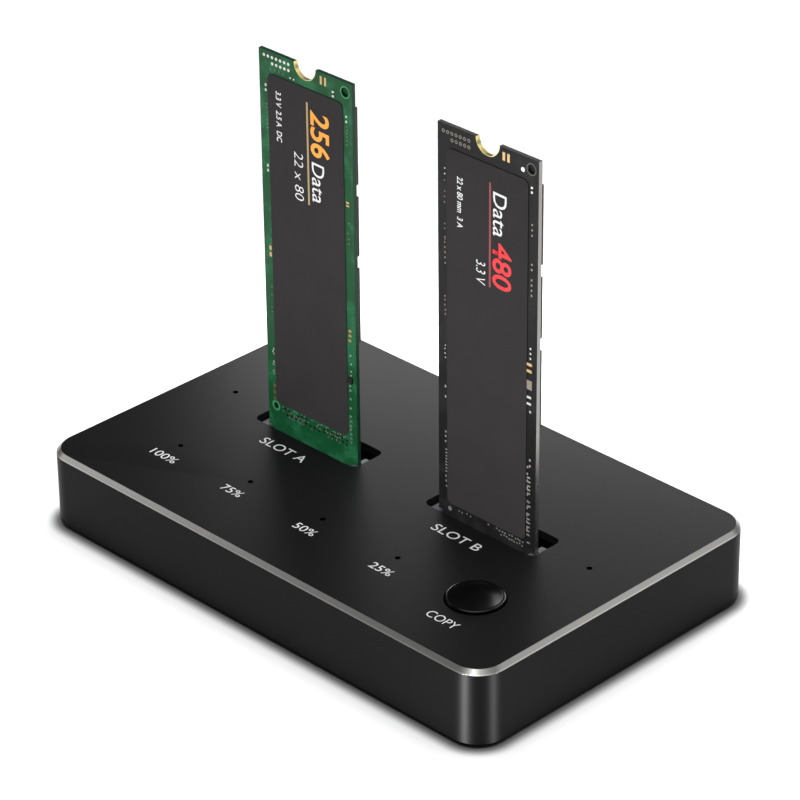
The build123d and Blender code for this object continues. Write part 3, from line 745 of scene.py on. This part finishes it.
# %% Small parts of the green card
green_bright = [
    run_of("left", 1.3, 0.95, 7, 0.97, PAD_DISC, solder, across=True, disc=True),
    run_of("left", 3.25, 2.05, 5, 0.97, PAD_DISC, solder, across=True, disc=True),
    run_of("left", 7.5, 3.3, 2, 0.85, (0.3, 0.24, 0.04), solder, across=True),
    run_of("left", 17.75, 2.5, 2, 0.75, (0.42, 0.34, 0.2), solder),
    run_of("left", 1.6, 6.3, 2, 0.9, CHIP, solder),
    run_of("left", 1.6, 21.1, 2, 0.9, CHIP, solder),
    run_of("left", 1.6, 56.0, 12, 0.55, MARK, solder, keep=0.6, wander=0.14, seed=4),
    run_of("left", 20.7, 6.0, 2, 0.9, (0.3, 0.4, 0.12), solder),
    run_of("left", 20.7, 50.2, 6, 0.8, MARK, solder, keep=0.8, wander=0.12, seed=7),
    run_of("left", 20.6, 56.2, 14, 0.85, (0.42, 0.36, 0.1), solder, keep=0.9, wander=0.08, seed=8),
    run_of("left", 3.6, 66.75, 27, 0.6, (0.3, 0.32, 0.08), solder,
           across=True, keep=0.62, wander=0.14, seed=9),
    run_of("left", 3.9, 67.5, 26, 0.6, (0.34, 0.26, 0.08), solder,
           across=True, keep=0.6, wander=0.16, seed=10),
    run_of("left", 5.2, 68.3, 23, 0.62, (0.26, 0.3, 0.08), solder,
           across=True, keep=0.45, wander=0.16, seed=11),
]
green_pale = [
    run_of("left", 2.8, 3.1, 4, 1.0, (0.12, 0.4, 0.02), plated_ring, across=True),
    run_of("left", 1.6, 9.0, 9, 0.75, TICK, plated_ring, keep=0.75, wander=0.1, seed=2),
    run_of("left", 1.6, 42.5, 14, 0.8, TICK, plated_ring, keep=0.5, wander=0.12, seed=3),
    run_of("left", 20.7, 7.8, 6, 0.65, TICK, plated_ring, keep=0.9, wander=0.06, seed=5),
    run_of("left", 20.7, 25.4, 5, 0.95, TICK, plated_ring, keep=0.8, wander=0.1, seed=6),
]
green_gold = [
    run_of("left", 14.8, 1.4, 2, 1.0, (0.46, 1.5, 0.02), bare_gold, across=True),
    run_of("left", 1.6, 36.6, 2, 1.25, GOLD_PAD, bare_gold),
    run_of("left", 1.65, 63.4, 3, 1.25, GOLD_PAD, bare_gold, wander=0.05),
    run_of("left", 20.7, 21.6, 2, 0.6, (0.66, 0.34, 0.1), bare_gold),
    run_of("left", 20.7, 45.6, 3, 0.9, (0.66, 0.5, 0.1), bare_gold, wander=0.05),
]
green_dark = [
    run_of("left", 20.7, 55.0, 1, 1.0, (0.9, 1.1, 0.3), black_part_and_hole_shade),
    run_of("left", 4.0, 67.1, 15, 1.1, (0.5, 0.3, 0.1), black_part_and_hole_shade,
           across=True, keep=0.7, wander=0.16, seed=12),
    run_of("left", 4.6, 67.95, 14, 1.15, (0.4, 0.34, 0.1), black_part_and_hole_shade,
           across=True, keep=0.7, wander=0.16, seed=13),
]
joined("green_card_solder", green_bright, solder, "left_drive")
joined("green_card_traces", green_pale, plated_ring, "left_drive")
joined("green_card_pads", green_gold, bare_gold, "left_drive")
joined("green_card_resistors", green_dark, black_part_and_hole_shade, "left_drive")

# %% Small parts of the black card
black_bright = [
    run_of("right", 18.6, 2.4, 1, 1.0, (0.8, 0.8, 0.03), solder, disc=True),
    run_of("right", 1.6, 7.8, 2, 1.0, TICK, solder),
    run_of("right", 1.6, 39.8, 4, 0.75, TICK, solder, keep=0.8, wander=0.08, seed=21),
    run_of("right", 1.65, 47.5, 2, 1.9, (0.26, 0.4, 0.05), solder),
    run_of("right", 1.65, 56.0, 3, 0.95, MARK, solder, wander=0.06, seed=22),
    run_of("right", 1.85, 59.4, 8, 0.6, (0.5, 0.2, 0.06), solder, wander=0.05, seed=23),
    run_of("right", 1.75, 64.6, 3, 0.9, (0.26, 0.4, 0.06), solder, wander=0.08, seed=24),
    run_of("right", 20.6, 4.9, 2, 0.8, (0.36, 0.36, 0.08), solder),
    run_of("right", 20.6, 33.4, 3, 0.9, MARK, solder),
    run_of("right", 20.4, 42.3, 2, 1.2, (0.9, 0.42, 0.1), solder),
    run_of("right", 20.7, 44.9, 1, 1.0, (0.36, 0.36, 0.1), solder),
    run_of("right", 20.7, 53.9, 2, 1.1, (0.3, 0.4, 0.08), solder),
    run_of("right", 20.5, 57.2, 18, 0.78, (0.66, 0.28, 0.08), solder, keep=0.9, wander=0.1, seed=25),
    run_of("right", 20.2, 55.3, 10, 1.3, (0.24, 0.4, 0.08), solder, keep=0.8, wander=0.05, seed=33),
    run_of("right", 2.6, 70.5, 1, 1.0, (0.85, 0.85, 0.03), solder, disc=True),
    run_of("right", 4.3, 70.0, 6, 0.6, (0.3, 0.26, 0.08), solder,
           across=True, keep=0.8, wander=0.14, seed=26),
    run_of("right", 11.6, 69.9, 15, 0.6, (0.3, 0.3, 0.08), solder,
           across=True, keep=0.8, wander=0.16, seed=27),
    run_of("right", 14.4, 70.6, 11, 0.6, (0.3, 0.26, 0.08), solder,
           across=True, keep=0.7, wander=0.16, seed=28),
]
black_pale = [
    run_of("right", 1.3, 1.3, 7, 0.93, RING_DISC, plated_ring, across=True, disc=True),
    run_of("right", 3.2, 2.45, 5, 0.93, RING_DISC, plated_ring, across=True, disc=True),
    run_of("right", 17.7, 4.0, 1, 1.0, (0.5, 0.14, 0.02), plated_ring),
    run_of("right", 1.6, 10.0, 12, 0.95, TICK, plated_ring, keep=0.6, wander=0.08, seed=29),
    run_of("right", 1.6, 20.0, 6, 0.95, PRINT_LINE, plated_ring, keep=0.9, wander=0.06, seed=30),
    run_of("right", 1.6, 30.7, 7, 0.85, PRINT_LINE, plated_ring, keep=0.9, wander=0.08, seed=31),
    run_of("right", 20.7, 11.3, 3, 0.95, (0.3, 0.3, 0.05), plated_ring),
    run_of("right", 20.7, 18.3, 7, 0.92, (0.3, 0.36, 0.05), plated_ring, keep=0.9, seed=32),
    run_of("right", 20.5, 40.0, 1, 1.0, (1.1, 1.7, 0.14), plated_ring),
]
black_gold = [
    run_of("right", 14.5, 1.5, 2, 1.0, (0.55, 1.45, 0.02), bare_gold, across=True),
    run_of("right", 20.4, 36.3, 2, 1.2, (1.15, 0.5, 0.12), bare_gold),
]
joined("black_card_solder", black_bright, solder, "right_drive")
joined("black_card_traces", black_pale, plated_ring, "right_drive")
joined("black_card_pads", black_gold, bare_gold, "right_drive")

# %% [markdown]
# The backs of the cards carry the chips, which are CAD pieces, and between and below them the small
# parts that every such drive needs: ceramic capacitors, dark coils and regulators, and bare pads.
# Both cards have the same rows. Each is a place from the left and the top, seen from behind, then a
# count, a pitch, the part's width, height and thickness, and the share of the row that is kept.

# %% Small parts of the backs
BACK_SEED = 40
card_back = {side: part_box(side + "_drive_board")[1].y / MM for side in ("left", "right")}
back_rows = {
    "capacitors": (finishes["ceramic_chip"], [
        (13.9, 24.2, 4, 1.5, (0.75, 1.15, 0.45), 1.0), (2.6, 50.6, 12, 1.35, (0.5, 0.9, 0.4), 0.85),
        (12.0, 58.4, 5, 1.5, (0.9, 0.5, 0.4), 1.0)]),
    "coils": (black_part_and_hole_shade, [
        (14.0, 22.0, 4, 1.5, (0.9, 0.5, 0.35), 1.0), (15.2, 29.3, 2, 3.1, (2.5, 2.4, 1.0), 1.0),
        (3.8, 55.0, 3, 5.1, (2.2, 2.2, 0.8), 1.0), (2.9, 58.4, 6, 1.5, (0.9, 0.5, 0.35), 0.8)]),
    "pads": (solder, [
        (13.6, 26.6, 8, 0.75, (0.26, 0.4, 0.06), 0.9), (2.6, 52.4, 22, 0.75, (0.26, 0.3, 0.05), 0.7),
        (2.6, 61.2, 22, 0.75, (0.3, 0.3, 0.04), 0.75), (2.6, 64.0, 16, 1.05, (0.34, 0.6, 0.05), 0.6)]),
}
for side, colour in (("left", "green"), ("right", "black")):
    for kind, (ink, rows) in back_rows.items():
        meshes = []
        for seed, (u, v, count, pitch, (width, tall, thick), keep) in enumerate(rows):
            left = card_middle[side] + CARD_HALF
            start = Vector((left - u, card_back[side] + thick / 2, card_top - v))
            meshes.append(run_row(small_parts, {
                "Start": start * MM, "Step": Vector((-pitch, 0, 0)) * MM, "Count": count,
                "Size": Vector((width, thick, tall)) * MM, "Wander": Vector((0, 0, 0)),
                "Keep": keep, "Seed": BACK_SEED + seed, "Round": False, "Material": ink}))
        joined(colour + "_card_back_" + kind, meshes, ink, side + "_drive")

# %% [markdown]
# A plated hole has a flat ring of copper round it. The rings round the tooling holes and the fixing
# hole at the foot of the green card are turned pieces, and the holes' black centres are short discs of
# painted shade in place of the open holes, all thin as the copper is.

# %% Rings and hole centres
FOIL = 0.02
RING_STEPS = 40
# Black discs painted as the shade inside the plated holes.
centres = [
    run_of("right", 1.3, 1.3, 7, 0.93, HOLE_DISC, black_part_and_hole_shade, across=True, disc=True, proud=FOIL),
    run_of("right", 3.2, 2.45, 5, 0.93, HOLE_DISC, black_part_and_hole_shade, across=True, disc=True, proud=FOIL),
]
joined("black_card_hole_centres", centres, black_part_and_hole_shade, "right_drive")
# A black disc painted as the shade inside the fixing hole.
foot_hole = [run_of("left", 1.9, 67.2, 1, 1.0, (1.15, 1.15, 0.03), black_part_and_hole_shade, disc=True)]
joined("green_card_foot_hole", foot_hole, black_part_and_hole_shade, "left_drive")


def flat_ring(name, side, u, v, inner, outer, material):
    """A flat ring of foil on a card's front face."""
    outline = [(inner, 0.0), (outer, 0.0), (outer, FOIL), (inner, FOIL)]
    middle = on_board(side, u, v)
    return turned(name, outline, middle, (0, -1, 0), material, side + "_drive", RING_STEPS)


mask_ring = moulded("solder mask over copper", "2f7a4c", "3c8a5a", 0.4, 0.1 * MM, 0.001 * MM)
dull_ring = moulded(
    "solder mask over copper, black", "4a4645", "565250", 0.4, 0.1 * MM, 0.001 * MM)
flat_ring("green_card_tooling_ring", "left", 20.4, 1.8, 0.87, 1.1, mask_ring)
flat_ring("green_card_foot_ring", "left", 1.9, 67.2, 0.6, 0.98, mask_ring)
flat_ring("black_card_tooling_ring", "right", 20.4, 1.8, 0.87, 1.06, dull_ring)

# %% [markdown]
# The rear port's tongue carries two rows of gold contacts, half a millimetre apart, one above and
# one below it.

# %% Port contacts
PORT_CONTACTS = 12
PORT_PITCH = 0.5
CONTACT = (0.26, 3.6, 0.03)
CONTACT_SETBACK = 0.3
TONGUE_HALF = 0.35
tongue_low, tongue_high = (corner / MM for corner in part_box("data_port_tongue"))
tongue_middle = (tongue_low + tongue_high) / 2
gold_rows = []
for level in (TONGUE_HALF + CONTACT[2] / 2, -TONGUE_HALF - CONTACT[2] / 2):
    start = Vector((tongue_middle.x - PORT_PITCH * (PORT_CONTACTS - 1) / 2,
                    tongue_high.y - CONTACT[1] / 2 - CONTACT_SETBACK, tongue_middle.z + level))
    gold_rows.append(run_row(small_parts, {
        "Start": start * MM, "Step": Vector((PORT_PITCH, 0, 0)) * MM, "Count": PORT_CONTACTS,
        "Size": Vector(CONTACT) * MM, "Wander": Vector((0, 0, 0)), "Keep": 1.0, "Seed": 1,
        "Round": False, "Material": finishes["finger_gold"]}))
joined("data_port_contacts", gold_rows, finishes["finger_gold"], "dock")

# %% [markdown]
# Printed legends are text turned into thin meshes. Each is fitted to the cap height and run length
# read off the photograph, so that the stock typeface takes on the proportions of the printed one.

# %% Lettering
INK = 0.02 * MM
print_white = moulded("screen ink, white", "cfcfcf", "e0e0e0", 0.5, 0.2 * MM, 0.001 * MM)
print_orange = moulded("screen ink, orange", "e8932c", "f0a13c", 0.5, 0.2 * MM, 0.001 * MM)
print_gold = moulded("screen ink, dull gold", "9a8660", "a8946c", 0.5, 0.2 * MM, 0.001 * MM)
print_red = moulded("screen ink, red", "d0262c", "dc3036", 0.5, 0.2 * MM, 0.001 * MM)
print_dark_red = moulded(
    "screen ink, dull red", "7c3436", "8a3c3e", 0.5, 0.2 * MM, 0.001 * MM)


def glyphs(text, weight, slant):
    """Flat text as a mesh; weight swells or thins its strokes and slant leans it."""
    curve = bpy.data.curves.new("text", "FONT")
    curve.body = text
    curve.offset = weight
    curve.shear = slant
    curve.resolution_u = 4
    holder = bpy.data.objects.new("text", curve)
    bpy.context.scene.collection.objects.link(holder)
    return plain_mesh(holder)


CAP_HEIGHT = max(v.co.y for v in glyphs("H", 0.0, 0.0).vertices)


def lettering(name, text, ink, corner, run, rise, basis, body, weight=0.0, slant=0.0):
    """Text of a run length and cap height; basis is its reading, rise and outward direction."""
    mesh = glyphs(text, weight, slant)
    low = min(v.co.x for v in mesh.vertices)
    high = max(v.co.x for v in mesh.vertices)
    reading, up, out = (Vector(b) for b in basis)
    for v in mesh.vertices:
        along = (v.co.x - low) / (high - low) * run
        across = v.co.y / CAP_HEIGHT * rise
        v.co = (Vector(corner) + reading * along + up * across) * MM + out * INK
    mesh.materials.clear()
    mesh.materials.append(ink)
    piece = bpy.data.objects.new(name, mesh)
    bpy.context.scene.collection.objects.link(piece)
    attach(piece, body)
    return piece


TOP_BASIS = ((1, 0, 0), (0, 1, 0), (0, 0, 1))
CASE_TOP = case_high.z / MM
legends = [
    ("legend_100", "100%", -37.5, -21.5, 5.9, 1.75, 0.0),
    ("legend_75", "75%", -19.9, -21.4, 4.6, 1.75, 0.0),
    ("legend_50", "50%", -2.1, -21.5, 4.7, 1.75, 0.0),
    ("legend_25", "25%", 15.8, -21.5, 4.7, 1.75, 0.0),
    ("legend_copy", "COPY", 32.7, -25.5, 6.4, 1.85, -0.006),
    ("legend_left_slot", "SLOT A", -26.6, -6.0, 10.6, 2.0, 0.0),
    ("legend_right_slot", "SLOT B", 14.8, -6.0, 10.6, 2.0, 0.0),
]
for name, text, x, y, run, rise, weight in legends:
    lettering(name, text, print_white, (x, y, CASE_TOP), run, rise, TOP_BASIS, "dock", weight)
print(len(legends), "legends on the top plate")

# %% [markdown]
# The rear legends name what a user looks for there, the power jack and the power switch. Each is
# set out from the piece that it names, and reads from behind.

# %% Rear legends
REAR_BASIS = ((-1, 0, 0), (0, 0, 1), (0, 1, 0))
CASE_REAR = case_high.y / MM
jack_middle = sum(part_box("power_jack_pin"), Vector()) / 2 / MM
knob_middle = sum(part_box("power_switch_knob"), Vector()) / 2 / MM
rear_legends = [
    ("legend_jack", "DC IN", jack_middle.x - 5.0, jack_middle.z - 0.7, 4.6, 1.4),
    ("legend_power", "POWER", knob_middle.x + 3.7, knob_middle.z + 2.3, 5.4, 1.4),
]
for name, text, x, z, run, rise in rear_legends:
    lettering(name, text, print_white, (x, CASE_REAR, z), run, rise, REAR_BASIS, "dock")
print(len(rear_legends), "legends on the rear wall")

# %% [markdown]
# The labels read downwards, with the tops of the letters to the right. What they say is plain
# numbers and units, in the colours and sizes of the printed labels: one bold coloured word, one
# light word in line with it, a thin coloured rule and two smaller lines.

# %% Label lettering
DOWN_BASIS = ((0, 0, -1), (1, 0, 0), (0, -1, 0))
ITALIC = 0.04
label_proud = card_front["left"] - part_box("left_drive_label")[0].y / MM


def on_label(side, from_left, below_top):
    """A point on a card's label, from the card's left edge and top, in millimetres."""
    return on_board(side, from_left, below_top, label_proud)


label_lines = [
    ("left_capacity", "256", print_orange, "left", 12.4, 7.4, 8.3, 4.1, 0.02),
    ("left_unit", "Data", print_white, "left", 12.4, 16.8, 7.3, 2.9, 0.002),
    ("left_format", "22 x 80", print_white, "left", 8.2, 16.2, 8.8, 2.1, -0.01),
    ("left_supply", "3.3 V  2.5 A  DC", print_white, "left", 4.1, 6.6, 9.1, 1.2, 0.015),
    ("right_unit", "Data", print_white, "right", 12.4, 8.2, 7.7, 2.9, 0.002),
    ("right_capacity", "480", print_red, "right", 12.4, 16.9, 8.2, 3.9, 0.015),
    ("right_format", "3.3 V", print_white, "right", 8.7, 21.5, 4.1, 2.0, -0.006),
    ("right_supply", "22 x 80 mm  3 A", print_white, "right", 4.5, 8.2, 9.0, 1.2, 0.015),
]
for name, text, ink, side, left, top, run, rise, weight in label_lines:
    corner = on_label(side, left, top)
    lettering(name, text, ink, corner, run, rise, DOWN_BASIS, side + "_drive", weight, ITALIC)
print(len(label_lines), "lines on the labels")


# %% Label rules
def bar(name, corners, ink, body):
    """A thin block between two corners in millimetres."""
    (x0, y0, z0), (x1, y1, z1) = corners
    points = [(x * MM, y * MM, z * MM) for x in (x0, x1) for y in (y0, y1) for z in (z0, z1)]
    faces = [(0, 1, 3, 2), (4, 6, 7, 5), (0, 4, 5, 1), (2, 3, 7, 6), (0, 2, 6, 4), (1, 5, 7, 3)]
    mesh = bpy.data.meshes.new(name)
    mesh.from_pydata(points, [], faces)
    mesh.materials.append(ink)
    piece = bpy.data.objects.new(name, mesh)
    bpy.context.scene.collection.objects.link(piece)
    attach(piece, body)
    return piece


RULE_WIDTH = 0.42
rules = [("left", print_gold, 11.3, 6.3, 18.8), ("right", print_dark_red, 11.5, 6.9, 18.6)]
for side, ink, left, top, run in rules:
    x, y, z = on_label(side, left, top)
    bar(side + "_rule", ((x, y - FOIL, z - run), (x + RULE_WIDTH, y, z)), ink, side + "_drive")
print(len(rules), "rules,", RULE_WIDTH, "mm wide")

# %% [markdown]
# A lamp that lights one thing only is linked to a collection of that thing's pieces, which are also
# all that can stand in its light. The case's and the button's lamps only draw highlights.

# %% Lamps that light one thing
drive_pieces = [piece.name for piece in bpy.data.objects
                if piece.get("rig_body") in ("left_drive", "right_drive")]
lit_pieces = {
    "case": ["housing_softened"],
    "button": ["button_cap"],
    "cards": drive_pieces,
}
for thing, names in lit_pieces.items():
    group = bpy.data.collections.new("lit " + thing)
    for name in names:
        group.objects.link(bpy.data.objects[name])
    for source in linked_lamps[thing]:
        source.light_linking.receiver_collection = group
        source.light_linking.blocker_collection = group
        source.visible_diffuse = thing == "cards"
print({thing: len(names) for thing, names in lit_pieces.items()}, "pieces lit by linked lamps")
